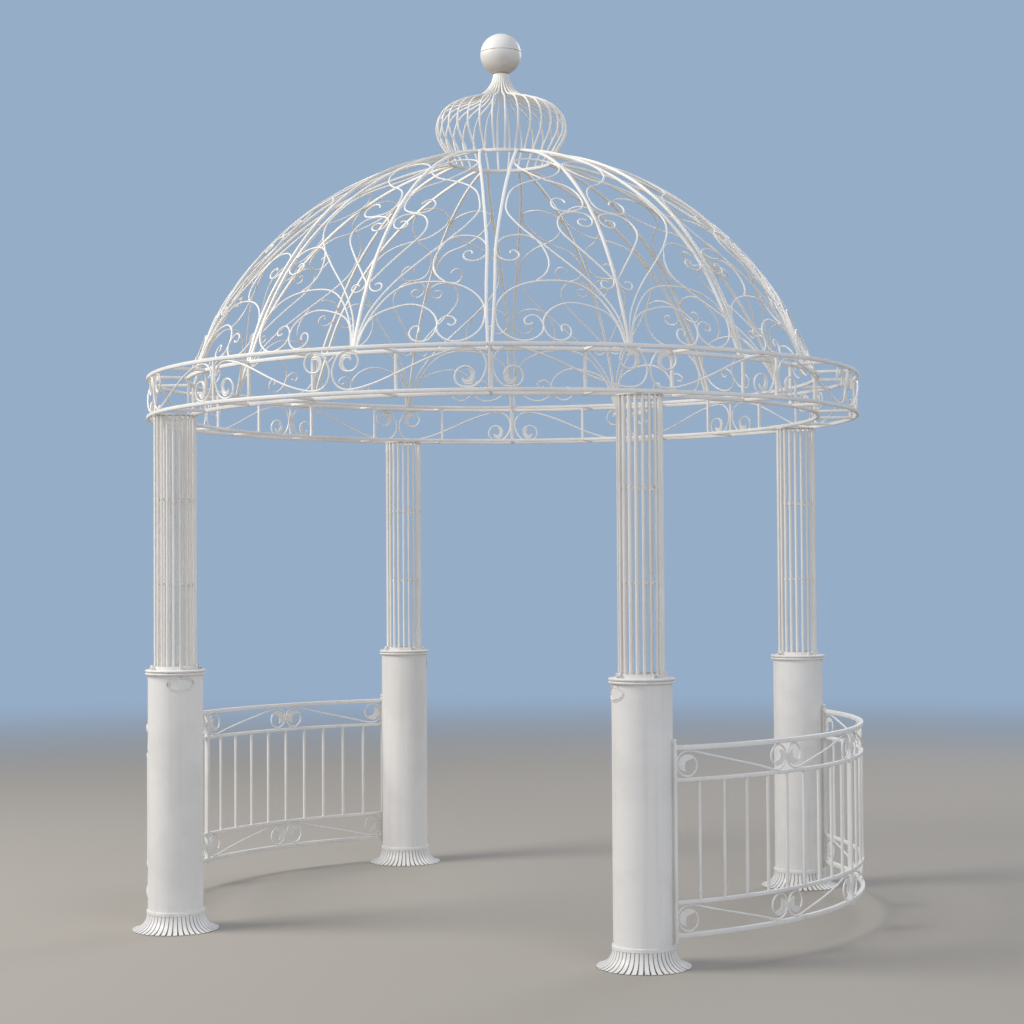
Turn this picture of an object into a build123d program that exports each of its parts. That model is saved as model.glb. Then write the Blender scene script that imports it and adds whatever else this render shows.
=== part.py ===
"""White steel garden pavilion: four drum columns with rod cages, a round ring beam, a dome of eight
scrollwork panels, a crown with an onion of bent wires and a ball, and two curved side railings.

Millimetres. Z is up, the origin is at the centre on the ground, and the entrance faces -Y.
Bars are bent in short straight runs, and round sheet pieces have flat sides, as rolled facets.
"""

import os
from math import asin, atan, cos, degrees, pi, radians, sin, sqrt, tan

from build123d import *

# Plan
COLUMN_CIRCLE_R = 1600
COLUMN_ANGLES = {"front_right": -45, "back_right": 45, "back_left": 135, "front_left": 225}
OUTER_RAIL_OFFSET = 95
INNER_RAIL_OFFSET = 90
OUTER_RAIL_R = COLUMN_CIRCLE_R + OUTER_RAIL_OFFSET
INNER_RAIL_R = COLUMN_CIRCLE_R - INNER_RAIL_OFFSET
SEGMENTS = 8
SEGMENT_ANGLE = 360 / SEGMENTS
FIT = 0.3

# Columns
DRUM_R = 125
DRUM_WALL = 3
DRUM_INNER_SIDES = 16
BASE_PLATE_H = 6
DRUM_H = 1151
CAP_H = 24
CAP_OVERHANG = 11.5
CAP_R = DRUM_R + CAP_OVERHANG
CAP_EDGE = 4
CAP_SIDES = 28
CAP_TOP_Z = DRUM_H + CAP_H

# Foot skirts, as height and outer radius of the sheet
SKIRT_SIDES = 20
SKIRT_WALL = 3
SKIRT_H = 88
SKIRT_NECK_Z = 70
SKIRT_KNEE_Z = 26
SKIRT_KNEE_OUT = 33
SKIRT_TOE_OUT = 71
SKIRT_COLLAR_R = DRUM_R + FIT + SKIRT_WALL
SKIRT_PROFILE = [
    (0, DRUM_R + SKIRT_TOE_OUT), (SKIRT_KNEE_Z, DRUM_R + SKIRT_KNEE_OUT),
    (SKIRT_NECK_Z, SKIRT_COLLAR_R), (SKIRT_H, SKIRT_COLLAR_R),
]

# Rod cages on the columns
CAGE_HOOP_SIDES = 10
CAGE_HOOP_APOTHEM = 84
CAGE_HOOP_T = 4
CAGE_HOOP_H = 14
CAGE_HOOPS = 4
CAGE_ROD = 12.5

# Ring beam
RAIL = 16
RING_SIDES = 48
RING_BOTTOM_Z = 2341
RING_H = 184
RING_TOP_Z = RING_BOTTOM_Z + RING_H
RING_STRUT = 13
JOINT_BAR = 12
SCROLL_BAR = 8

# Dome and crown circle: a sphere through the foot circle on the inner rail and the crown circle
CROWN_R = 262
DOME_RISE = 1075
DOME_FOOT_INSET = 7
DOME_FOOT_R = INNER_RAIL_R - DOME_FOOT_INSET
DOME_FOOT_Z = RING_TOP_Z + RAIL / 2
DOME_DROP = (DOME_FOOT_R**2 - CROWN_R**2 - DOME_RISE**2) / (2 * DOME_RISE)
DOME_CENTRE_Z = DOME_FOOT_Z - DOME_DROP
DOME_R = sqrt(DOME_FOOT_R**2 + DOME_DROP**2)
DOME_BAR = 16
DOME_BAR_RUNS = 6

# Crown ring and the onion that stands on it, with the wire's profile as radius and height
CROWN_SIDES = 32
CROWN_RAIL = 16
CROWN_Z = DOME_FOOT_Z + DOME_RISE
WIRE = 9
WIRE_STRAIGHT = 4
CROWN_APOTHEM = CROWN_R * cos(pi / CROWN_SIDES)
WIRE_R = CROWN_APOTHEM - CROWN_RAIL / 2
CROWN_TOP_Z = CROWN_Z + CROWN_RAIL / 2
ONION_BULGE = [(290, 66), (314, 140), (297, 206), (238, 267), (118, 316), (56, 370)]
ONION_PROFILE = [(WIRE_R, CROWN_TOP_Z), (WIRE_R, CROWN_TOP_Z + WIRE_STRAIGHT)]
ONION_PROFILE += [(r, CROWN_Z + h) for r, h in ONION_BULGE]
NECK_BOTTOM_Z = ONION_PROFILE[-1][1]
NECK_BOTTOM_R = 58
NECK_TOP_R = 31
NECK_SIDES = 16
NECK_H = 48
NECK_TOP_Z = NECK_BOTTOM_Z + NECK_H

# Ball finial
BALL_R = 100
BALL_STEM_H = 2
BALL_Z = NECK_TOP_Z + BALL_STEM_H + BALL_R
BALL_SIDES = 20
BALL_BANDS = 4
BALL_CUT = 80

# Side railings, with each rail's height and size
RAILING_RAILS = [(130, 20), (263, 16), (759, 16), (890, 20)]
RAILING_RUNS = 6
BALUSTERS = 9
BALUSTER_R = 7
POST = 20
POST_TOP_Z = 915
POST_FOOT_Z = 95

os.makedirs("parts", exist_ok=True)


def save(piece, name):
    """Labels a finished piece and writes it under its name."""
    piece.label = name
    export_step(piece, f"parts/{name}.step")


def meridian(angle):
    """Upright plane through the axis at an angle: its x runs outwards and its y upwards."""
    a = radians(angle)
    return Plane(origin=(0, 0, 0), x_dir=(cos(a), sin(a), 0), z_dir=(sin(a), -cos(a), 0))


def runs_along(points, runs):
    """Points at even steps on the smooth curve through the given points."""
    curve = Spline(*points)
    return [tuple(curve @ (i / runs))[:2] for i in range(runs + 1)]


def fitted(points, length, height):
    """A line drawn in shares, laid into a field of that length and height."""
    return [(w * length, h * height) for w, h in points]


def mirrored(points):
    """The same line on the other side of the middle."""
    return [(-w, s) for w, s in points]


def on_ring(points, radius, base_z):
    """Places on an upright cylinder of (distance along it from +X, height)."""
    return [(radius * cos(w / radius), radius * sin(w / radius), base_z + h) for w, h in points]


def bar(line, width, outward):
    """Square bar bent along straight runs, with one face outwards where it starts."""
    start = Vector(line[0])
    along = (Vector(line[1]) - start).normalized()
    with BuildPart() as piece:
        with BuildLine():
            Polyline(*line)
        with BuildSketch(Plane(origin=start, x_dir=outward.cross(along), z_dir=along)):
            Rectangle(width, width)
        sweep(transition=Transition.RIGHT)
    return piece.part


def tapered_stack(profile, sides):
    """Solid with flat sides that narrows upwards through (height, apothem) levels, a band to each step."""
    with BuildPart() as stack:
        for (z0, r0), (z1, r1) in zip(profile, profile[1:]):
            with BuildSketch(Plane.XY.offset(z0)):
                RegularPolygon(r0, sides, major_radius=False)
            extrude(amount=z1 - z0, taper=degrees(atan((r0 - r1) / (z1 - z0))))
    return stack.part


def column_place(angle):
    """Place on the column circle, turned to face the middle."""
    return Location((0, 0, 0), (0, 0, angle)) * Location((COLUMN_CIRCLE_R, 0, 0))


# Foot skirt: a sheet collar round the drum, flared out to the ground
skirt_outside = tapered_stack(SKIRT_PROFILE, SKIRT_SIDES)
skirt_inside = tapered_stack([(z, r - SKIRT_WALL) for z, r in SKIRT_PROFILE], SKIRT_SIDES)
with BuildPart() as foot_skirt:
    add(skirt_outside)
    add(skirt_inside, mode=Mode.SUBTRACT)

# Drum: a rolled sheet tube on a base plate
with BuildPart() as drum:
    with BuildSketch():
        Circle(DRUM_R)
    extrude(amount=DRUM_H)
    with BuildSketch(Plane.XY.offset(BASE_PLATE_H)):
        RegularPolygon(DRUM_R - DRUM_WALL, DRUM_INNER_SIDES)
    extrude(amount=DRUM_H, mode=Mode.SUBTRACT)

# Drum cap: a disc with softened edges
CAP_MID_Z = DRUM_H + CAP_H / 2
cap_top = tapered_stack(
    [(CAP_MID_Z, CAP_R), (CAP_TOP_Z - CAP_EDGE, CAP_R), (CAP_TOP_Z, CAP_R - CAP_EDGE)], CAP_SIDES
)
with BuildPart() as drum_cap:
    add(cap_top)
    mirror(about=Plane.XY.offset(CAP_MID_Z))

# Cage rods: two on each side of the hoops, standing on the cap and carrying the ring beam
ROD_LENGTH = RING_BOTTOM_Z - RAIL / 2 - CAP_TOP_Z
ROD_OFFSET = CAGE_HOOP_APOTHEM + CAGE_ROD / 2
ROD_SIDE = ROD_OFFSET * tan(pi / (2 * CAGE_HOOP_SIDES))
with BuildPart() as cage_rods:
    with BuildSketch(Plane.XY.offset(CAP_TOP_Z)):
        with PolarLocations(0, CAGE_HOOP_SIDES):
            with Locations((ROD_OFFSET, ROD_SIDE), (ROD_OFFSET, -ROD_SIDE)):
                Rectangle(CAGE_ROD, CAGE_ROD)
    extrude(amount=ROD_LENGTH)

# Cage hoops: flat bars bent to ten sides inside the rods
HOOP_CORNER = CAGE_HOOP_APOTHEM / cos(pi / CAGE_HOOP_SIDES)
HOOP_TURN = 180 / CAGE_HOOP_SIDES
HOOP_STEP = (ROD_LENGTH - CAGE_HOOP_H) / (CAGE_HOOPS - 1)
with BuildPart() as cage_hoops:
    for level in range(CAGE_HOOPS):
        with BuildSketch(Plane.XY.offset(CAP_TOP_Z + level * HOOP_STEP)):
            RegularPolygon(HOOP_CORNER, CAGE_HOOP_SIDES, rotation=HOOP_TURN)
            RegularPolygon(HOOP_CORNER - CAGE_HOOP_T, CAGE_HOOP_SIDES, rotation=HOOP_TURN, mode=Mode.SUBTRACT)
        extrude(amount=CAGE_HOOP_H)

for corner, angle in COLUMN_ANGLES.items():
    place = column_place(angle)
    save(place * foot_skirt.part, f"foot_skirt_{corner}")
    save(place * drum.part, f"drum_{corner}")
    save(place * drum_cap.part, f"drum_cap_{corner}")
    save(place * cage_rods.part, f"cage_rods_{corner}")
    save(place * cage_hoops.part, f"cage_hoops_{corner}")

# Ring beam scroll, as shares of the half segment's length and of the height between the rails
RING_SCROLL = [
    (0.864, 0.595), (0.804, 0.357), (0.856, 0.018), (0.954, 0.131), (0.987, 0.506), (0.947, 0.833),
    (0.849, 0.982), (0.503, 0.5), (0.165, 0.018), (0.06, 0.131), (0.014, 0.536), (0.068, 0.923),
    (0.173, 0.952), (0.198, 0.536),
]
RING_CLEAR = RING_H - RAIL
ring_scroll = fitted(RING_SCROLL, OUTER_RAIL_R * radians(SEGMENT_ANGLE / 2), RING_CLEAR)
frieze = [
    bar(on_ring(line, OUTER_RAIL_R, RING_BOTTOM_Z + RAIL / 2), SCROLL_BAR, Vector(1, 0, 0))
    for line in (ring_scroll, mirrored(ring_scroll))
]

# Ring segment: inner and outer rails, struts between them and the scroll frieze on the outer side
WEDGE_X = 2 * OUTER_RAIL_R
WEDGE_Y = WEDGE_X * tan(radians(SEGMENT_ANGLE / 2))
RING_MID_Z = (RING_BOTTOM_Z + RING_TOP_Z) / 2
END_STRUT_ANGLE = degrees((RING_STRUT / 2 + FIT) / INNER_RAIL_R) - SEGMENT_ANGLE / 2
END_JOINT_ANGLE = degrees((JOINT_BAR / 2 + FIT) / OUTER_RAIL_R) - SEGMENT_ANGLE / 2
with BuildPart() as ring_segment:
    for z in (RING_BOTTOM_Z, RING_TOP_Z):
        with BuildSketch(Plane.XY.offset(z - RAIL / 2)):
            for r in (OUTER_RAIL_R, INNER_RAIL_R):
                RegularPolygon(r + RAIL / 2, RING_SIDES)
                RegularPolygon(r - RAIL / 2, RING_SIDES, mode=Mode.SUBTRACT)
            Polygon((0, 0), (WEDGE_X, -WEDGE_Y), (WEDGE_X, WEDGE_Y), align=None, mode=Mode.INTERSECT)
        extrude(amount=RAIL)
    for angle in (END_STRUT_ANGLE, -SEGMENT_ANGLE / 6, SEGMENT_ANGLE / 6):
        with BuildSketch(meridian(angle)):
            with Locations((INNER_RAIL_R, RING_MID_Z)):
                Rectangle(RING_STRUT, RING_CLEAR)
            with Locations(*[((OUTER_RAIL_R + INNER_RAIL_R) / 2, z) for z in (RING_BOTTOM_Z, RING_TOP_Z)]):
                Rectangle(OUTER_RAIL_R - INNER_RAIL_R, RING_STRUT)
        extrude(amount=RING_STRUT / 2, both=True)
    with BuildSketch(meridian(END_JOINT_ANGLE)):
        with Locations((OUTER_RAIL_R, RING_MID_Z)):
            Rectangle(JOINT_BAR, RING_CLEAR)
    extrude(amount=JOINT_BAR / 2, both=True)
    add(frieze)

for i in range(SEGMENTS):
    save(Location((0, 0, 0), (0, 0, i * SEGMENT_ANGLE)) * ring_segment.part, f"ring_segment_{i + 1}")

# Dome panel lines, as shares of the half width at the foot and of the rib's length above the ring beam
BASE_LATITUDE = asin(DOME_DROP / DOME_R)
TOP_LATITUDE = pi / 2 - asin(CROWN_R / DOME_R)
RIB_LENGTH = DOME_R * (TOP_LATITUDE - BASE_LATITUDE)
FOOT_HALF_WIDTH = DOME_FOOT_R * radians(SEGMENT_ANGLE / 2) - DOME_BAR / 2 - FIT
BAR_OVERRUN = 0.012
EDGE_BAR = [
    (1, -BAR_OVERRUN), (0.919, 0.167), (0.756, 0.376), (0.635, 0.497), (0.521, 0.603), (0.266, 0.818),
    (0.045, 1 + BAR_OVERRUN),
]
DOME_SCROLLS = {
    "arch": [
        (0, -0.006), (0.155, 0.129), (0.327, 0.178), (0.516, 0.186), (0.756, 0.168), (0.925, 0.119),
        (0.957, 0.064), (0.825, 0.02), (0.662, 0.029), (0.627, 0.075),
    ],
    "stem": [
        (0, 0.012), (0.137, 0.149), (0.342, 0.243), (0.55, 0.329), (0.722, 0.331), (0.833, 0.29),
        (0.756, 0.247), (0.687, 0.263),
    ],
    "bow": [
        (0.005, 0.701), (0.086, 0.634), (0.258, 0.591), (0.516, 0.55), (0.66, 0.469), (0.601, 0.359),
        (0.481, 0.272), (0.533, 0.211), (0.576, 0.18),
    ],
    "heart": [
        (0, 0.192), (0.131, 0.252), (0.284, 0.336), (0.301, 0.4), (0.15, 0.431), (0.031, 0.411),
        (0.043, 0.371),
    ],
}


def on_dome(points):
    """Places on the dome's sphere of (distance across from the rib, length along it).

    latitude = base + length / R, turn = across / (R cos latitude).
    """
    places = []
    for across, length in points:
        latitude = BASE_LATITUDE + length / DOME_R
        level_r = DOME_R * cos(latitude)
        turn = across / level_r
        places.append((level_r * cos(turn), level_r * sin(turn), DOME_CENTRE_Z + DOME_R * sin(latitude)))
    return places


def dome_bar(line, width):
    """Bar along a line of the dome panel, with one face outwards."""
    places = on_dome(line)
    x, y, z = places[0]
    return bar(places, width, Vector(x, y, z - DOME_CENTRE_Z).normalized())


# Dome panel: a middle rib, two edge bars and mirrored scrolls between them
rib_step = (1 + 2 * BAR_OVERRUN) / DOME_BAR_RUNS
rib_line = [(0, i * rib_step - BAR_OVERRUN) for i in range(DOME_BAR_RUNS + 1)]
edge_line = runs_along(EDGE_BAR, DOME_BAR_RUNS)
dome_lines = [(line, DOME_BAR) for line in (rib_line, edge_line, mirrored(edge_line))]
for scroll in DOME_SCROLLS.values():
    dome_lines += [(scroll, SCROLL_BAR), (mirrored(scroll), SCROLL_BAR)]
dome_bars = [dome_bar(fitted(line, FOOT_HALF_WIDTH, RIB_LENGTH), width) for line, width in dome_lines]
with BuildPart() as dome_panel:
    add(dome_bars)
    split(bisect_by=Plane.XY.offset(DOME_FOOT_Z), keep=Keep.TOP)
    with BuildSketch(Plane.XY.offset(CROWN_Z)):
        RegularPolygon(CROWN_R, CROWN_SIDES)
    extrude(amount=CROWN_R, both=True, mode=Mode.SUBTRACT)

for i in range(SEGMENTS):
    save(Location((0, 0, 0), (0, 0, i * SEGMENT_ANGLE)) * dome_panel.part, f"dome_panel_{i + 1}")

# Crown ring: one hoop that takes the tops of the ribs and edge bars
with BuildPart() as crown_ring:
    with BuildSketch(Plane.XY.offset(CROWN_Z - CROWN_RAIL / 2)):
        RegularPolygon(CROWN_R, CROWN_SIDES)
        hoop_bore = CROWN_APOTHEM - CROWN_RAIL
        RegularPolygon(hoop_bore, CROWN_SIDES, major_radius=False, mode=Mode.SUBTRACT)
    extrude(amount=CROWN_RAIL)
save(crown_ring.part, "crown_ring")

# Onion: bent wires that stand on the crown ring, swell out and close under the neck
wire_line = [(r, 0, z) for r, z in ONION_PROFILE]
wire_end = (0, 0, NECK_BOTTOM_Z + NECK_BOTTOM_R)
one_wire = bar(wire_line + [wire_end], WIRE, Vector(1, 0, 0))
with BuildPart() as onion_wire:
    add(one_wire)
    split(bisect_by=Plane.XY.offset(NECK_BOTTOM_Z), keep=Keep.BOTTOM)
with BuildPart() as onion_cage:
    with PolarLocations(0, CROWN_SIDES, start_angle=180 / CROWN_SIDES):
        add(onion_wire.part)
save(onion_cage.part, "onion_cage")

# Neck: a cone that gathers the wires under the ball
with BuildPart() as onion_neck:
    add(tapered_stack([(NECK_BOTTOM_Z, NECK_BOTTOM_R), (NECK_TOP_Z, NECK_TOP_R)], NECK_SIDES))
save(onion_neck.part, "onion_neck")

# Ball finial: flat-sided bands between the parallels of a ball, on a short stem
tilts = [radians(BALL_CUT * (i + 1 / 2) / (BALL_BANDS + 1 / 2)) for i in range(BALL_BANDS + 1)]
half_ball = [(BALL_Z, BALL_R * cos(tilts[0]))] + [(BALL_Z + BALL_R * sin(t), BALL_R * cos(t)) for t in tilts]
ball_top = tapered_stack(half_ball, BALL_SIDES)
with BuildPart() as finial_ball:
    add(ball_top)
    mirror(about=Plane.XY.offset(BALL_Z))
    with BuildSketch(Plane.XY.offset(NECK_TOP_Z)):
        RegularPolygon(half_ball[-1][1], BALL_SIDES, major_radius=False)
    extrude(amount=BALL_Z - NECK_TOP_Z)
save(finial_ball.part, "finial_ball")

# Railing band scroll, as shares of the half rail's length and of the height between the band's rails
BAND_SCROLL = [
    (0.896, 0.69), (0.852, 0.354), (0.913, 0.009), (0.974, 0.265), (0.974, 0.752), (0.913, 0.991),
    (0.806, 0.92), (0.493, 0.504), (0.181, 0.071), (0.074, 0.009), (0.013, 0.398), (0.041, 0.885),
    (0.112, 0.991), (0.151, 0.531),
]

# The end post's inner corner stands just clear of the drum, which gives the panel's angle
POST_INNER_R = OUTER_RAIL_R - POST / 2
SEAT_CHORD = (DRUM_R + FIT) ** 2 - (POST_INNER_R - COLUMN_CIRCLE_R) ** 2
SEAT_ANGLE = 2 * degrees(asin(sqrt(SEAT_CHORD / (4 * POST_INNER_R * COLUMN_CIRCLE_R))))
PANEL_ANGLE = SEGMENT_ANGLE - SEAT_ANGLE
HALF_PANEL = OUTER_RAIL_R * radians(PANEL_ANGLE / 2)

RAIL_REACH = HALF_PANEL - POST / 2
railing_bars = []
for (z0, size0), (z1, size1) in (RAILING_RAILS[:2], RAILING_RAILS[2:]):
    band_scroll = fitted(BAND_SCROLL, RAIL_REACH, z1 - z0 - (size0 + size1) / 2)
    railing_bars += [
        bar(on_ring(line, OUTER_RAIL_R, z0 + size0 / 2), SCROLL_BAR, Vector(1, 0, 0))
        for line in (band_scroll, mirrored(band_scroll))
    ]
rail_line = [(RAIL_REACH * (2 * i / RAILING_RUNS - 1), 0) for i in range(RAILING_RUNS + 1)]
rail_start = Vector(cos(radians(PANEL_ANGLE / 2)), -sin(radians(PANEL_ANGLE / 2)), 0)
railing_bars += [bar(on_ring(rail_line, OUTER_RAIL_R, z), size, rail_start) for z, size in RAILING_RAILS]

# Railing panel centred on +X: rolled rails, end posts, balusters and two scroll bands
with BuildPart() as railing:
    add(railing_bars)
    low, high = RAILING_RAILS[1][0], RAILING_RAILS[2][0]
    with BuildSketch(Plane.XY.offset(low)):
        for i in range(1, BALUSTERS + 1):
            a = radians(PANEL_ANGLE * (i / (BALUSTERS + 1) - 1 / 2))
            with Locations((OUTER_RAIL_R * cos(a), OUTER_RAIL_R * sin(a))):
                RegularPolygon(BALUSTER_R, 6, rotation=degrees(a))
    extrude(amount=high - low)
    for side in (-1, 1):
        with BuildSketch(meridian(side * PANEL_ANGLE / 2)):
            with Locations((OUTER_RAIL_R, (POST_FOOT_Z + POST_TOP_Z) / 2)):
                Rectangle(POST, POST_TOP_Z - POST_FOOT_Z)
        extrude(amount=side * POST)

RAILINGS = {
    "railing_right_front": -PANEL_ANGLE / 2,
    "railing_right_back": PANEL_ANGLE / 2,
    "railing_left_back": 180 - PANEL_ANGLE / 2,
    "railing_left_front": 180 + PANEL_ANGLE / 2,
}
for name, angle in RAILINGS.items():
    save(Location((0, 0, 0), (0, 0, angle)) * railing.part, name)
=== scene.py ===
from math import asin, cos, pi, radians, sin, sqrt

import bpy
import numpy as np
from mathutils import Matrix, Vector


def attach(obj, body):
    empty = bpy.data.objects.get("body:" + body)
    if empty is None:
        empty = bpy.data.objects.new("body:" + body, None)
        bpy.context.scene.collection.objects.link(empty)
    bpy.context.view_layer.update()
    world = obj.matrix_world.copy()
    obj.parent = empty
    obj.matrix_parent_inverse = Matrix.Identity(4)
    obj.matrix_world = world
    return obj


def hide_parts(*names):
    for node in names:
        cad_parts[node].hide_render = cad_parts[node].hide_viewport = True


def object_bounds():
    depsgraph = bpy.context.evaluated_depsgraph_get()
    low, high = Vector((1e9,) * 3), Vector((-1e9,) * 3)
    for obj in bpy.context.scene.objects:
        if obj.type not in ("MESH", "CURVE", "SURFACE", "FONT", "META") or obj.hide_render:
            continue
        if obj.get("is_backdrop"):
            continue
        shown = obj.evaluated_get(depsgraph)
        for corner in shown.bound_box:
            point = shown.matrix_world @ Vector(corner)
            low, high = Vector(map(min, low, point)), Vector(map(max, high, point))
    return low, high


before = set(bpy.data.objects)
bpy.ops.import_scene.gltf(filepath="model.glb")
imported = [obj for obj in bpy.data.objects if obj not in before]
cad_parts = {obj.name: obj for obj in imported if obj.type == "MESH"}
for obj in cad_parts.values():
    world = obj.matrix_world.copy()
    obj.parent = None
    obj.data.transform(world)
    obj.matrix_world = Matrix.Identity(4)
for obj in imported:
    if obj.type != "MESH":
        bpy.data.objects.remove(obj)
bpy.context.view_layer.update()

# Drums: the lower half of each column is a pipe of 250 mm rolled from steel sheet, welded to a round base
# plate and painted white. Each has a plain oval bead on it, facing the doorways.

COLUMN_TURNS = {"front_right": -45, "back_right": 45, "back_left": 135, "front_left": 225}
COLUMN_CIRCLE = 1.600
DRUM_RADIUS = 0.125
DRUM_WALL = 0.003
DRUM_TOP = 1.151
DRUM_SIDES = 96
DRUM_ROWS = 24
# Depth of the waves in the sheet, how many go round, where they start, and radians for each metre up
DRUM_WAVE = 0.0004
WAVES_ROUND = 3
WAVE_START = 1.0
WAVE_CLIMB = 5.0
OVAL_TURN = {"front_right": -90, "back_right": 90, "back_left": -90, "front_left": 90}
OVAL_HALF_WIDTH = 0.064
OVAL_HALF_HEIGHT = 0.033
OVAL_HEIGHT = 1.113
OVAL_INSET = 0.008
OVAL_BEAD = (0.0026, 0.0028)
OVAL_BEAD_SIDES = 8
OVAL_STEPS = 72
SHARP_ANGLE = 38
# Wear far from an edge or weld, what is added there, and how far that reaches
DRUM_WEAR = (0.08, 0.30, 0.05)
# Wear on the oval's ridge, and what is added at its sides as painted shade beside the raised bead
OVAL_WEAR_AND_SHADE = (0.10, 0.75)


def ring_faces(rows, sides, closed_rows=False):
    """Four-sided faces between rows of points that each go all the way round.

    Point j of row i has the number i * sides + j, and j wraps back to 0 after the last.
    """
    i = np.arange(rows if closed_rows else rows - 1)[:, None]
    j = np.arange(sides)[None, :]
    here, ahead = i * sides, (i + 1) % rows * sides
    beside = (j + 1) % sides
    return np.stack([here + j, here + beside, ahead + beside, ahead + j], -1).reshape(-1, 4)


def turned(profile, sides, closed=True, waves=None):
    """A profile turned round the upright axis: x = r cos t, y = r sin t, z = z.

    A closed profile makes a ring-shaped solid. An open one starts and ends in a flat round face.
    waves adds to the radius, one number for each point of the grid.
    """
    profile = np.asarray(profile, float)
    t = 2 * pi * np.arange(sides) / sides
    r = profile[:, 0, None] + (0 if waves is None else waves)
    x, y = r * np.cos(t), r * np.sin(t)
    points = np.stack([x, y, np.broadcast_to(profile[:, 1, None], x.shape)], -1).reshape(-1, 3)
    faces = [ring_faces(len(profile), sides, closed)]
    if not closed:
        last = (len(profile) - 1) * sides
        faces += [np.arange(sides)[None, ::-1], last + np.arange(sides)[None, :]]
    return points, faces


def swept(path, outward, profile, closed=False, scale=1.0):
    """A profile carried along a path: point = path + a * normal + b * (along x normal).

    path is (bars, steps, 3) or (steps, 3), and outward is like it or holds one direction for each bar.
    The profile runs anticlockwise in (a, b), and scale multiplies (a, b) at each step.
    """
    outward = np.broadcast_to(outward, np.shape(path)).reshape(-1, *np.shape(path)[-2:])
    path = np.reshape(path, outward.shape)
    if closed:
        along = np.roll(path, -1, 1) - np.roll(path, 1, 1)
    else:
        along = np.gradient(path, axis=1)
    along /= np.linalg.norm(along, axis=-1, keepdims=True)
    normal = outward - (outward * along).sum(-1, keepdims=True) * along
    normal /= np.linalg.norm(normal, axis=-1, keepdims=True)
    across = np.cross(along, normal)
    profile = np.asarray(profile, float)
    bars, steps = path.shape[:2]
    sizes = np.broadcast_to(scale, (bars, steps, 2))[:, :, None, :] * profile
    points = path[:, :, None] + sizes[..., :1] * normal[:, :, None] + sizes[..., 1:] * across[:, :, None]
    sides = len(profile)
    start = (np.arange(bars) * steps * sides)[:, None, None]
    faces = [(start + ring_faces(steps, sides, closed)).reshape(-1, 4)]
    if not closed:
        cap = np.arange(sides)
        faces += [start[..., 0] + cap[::-1], start[..., 0] + (steps - 1) * sides + cap]
    return points.reshape(-1, 3), faces


def about_axis(points, degrees, out=0.0):
    """The points moved outwards along +X, then turned round the upright axis."""
    a = radians(degrees)
    turn = np.array([[cos(a), sin(a), 0], [-sin(a), cos(a), 0], [0, 0, 1]])
    return (points + np.array([out, 0, 0])) @ turn


def placed(parts, degrees, out=0.0):
    """Parts of (points, faces, wear) with their points moved in the same way."""
    return [(about_axis(points, degrees, out), faces, wear) for points, faces, wear in parts]


def outward_at(turn):
    """Level directions away from the upright axis: (cos turn, sin turn, 0)."""
    turn = np.asarray(turn)
    return np.stack([np.cos(turn), np.sin(turn), 0 * turn], -1)


def worn_near(distance, least, more, reach, power=1):
    """Wear that falls away from an edge or weld: least + more * exp(-(distance / reach) ** power)."""
    return least + more * np.exp(-((np.abs(distance) / reach) ** power))


def new_piece(name, parts, material, slot, *nodes):
    """One mesh from (points, faces, wear) parts, on the root body in the nodes' place.

    Wear is a number, or one for each point: 0 is sound paint and 1 is worn through.
    Beside the drums' oval beads it also carries painted shade.
    """
    points = np.concatenate([p for p, _, _ in parts])
    wear = np.concatenate([np.broadcast_to(w, len(p)) for p, _, w in parts])
    firsts = np.cumsum([0] + [len(p) for p, _, _ in parts])
    faces = [first + np.asarray(f) for first, (_, group, _) in zip(firsts, parts) for f in group]
    corners = np.concatenate([f.ravel() for f in faces])
    counts = np.concatenate([np.full(len(f), f.shape[1]) for f in faces])
    mesh = bpy.data.meshes.new(name)
    mesh.vertices.add(len(points))
    mesh.vertices.foreach_set("co", points.ravel().astype(np.float32))
    mesh.loops.add(len(corners))
    mesh.loops.foreach_set("vertex_index", corners.astype(np.int32))
    mesh.polygons.add(len(counts))
    mesh.polygons.foreach_set("loop_start", (np.cumsum(counts) - counts).astype(np.int32))
    mesh.update(calc_edges=True)
    mesh.polygons.foreach_set("use_smooth", np.ones(len(counts), bool))
    mesh.set_sharp_from_angle(angle=radians(SHARP_ANGLE))
    worn = mesh.attributes.new("wear", "FLOAT", "POINT")
    worn.data.foreach_set("value", wear.astype(np.float32))
    mesh.materials.append(material)
    piece = bpy.data.objects.new(name, mesh)
    bpy.context.collection.objects.link(piece)
    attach(piece, "root")
    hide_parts(*nodes)


def shade_of(red, green, blue):
    """The linear colour of an sRGB one from 0 to 255: ((c + 0.055) / 1.055) to the power 2.4."""
    c = np.array([red, green, blue]) / 255
    linear = np.where(c > 0.04045, ((c + 0.055) / 1.055) ** 2.4, c / 12.92)
    return (*(float(v) for v in linear), 1.0)


def linked(tree, kind, values=None, **inputs):
    """A node of that kind with its properties set, and its inputs given a value or another node's output.

    An input is named as it stands on the node, or by i and its number.
    """
    node = tree.nodes.new(kind)
    for key, value in (values or {}).items():
        setattr(node, key, value)
    for key, value in inputs.items():
        by_number = key[0] == "i" and key[1:].isdigit()
        socket = node.inputs[int(key[1:]) if by_number else key]
        if isinstance(value, bpy.types.NodeSocket):
            tree.links.new(value, socket)
        else:
            socket.default_value = value
    return node


def tinted(tree, share, first, second):
    """Colour between two colours: first * (1 - share) + second * share."""
    return linked(tree, "ShaderNodeMix", {"data_type": "RGBA"}, i0=share, i6=first, i7=second).outputs[2]


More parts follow.
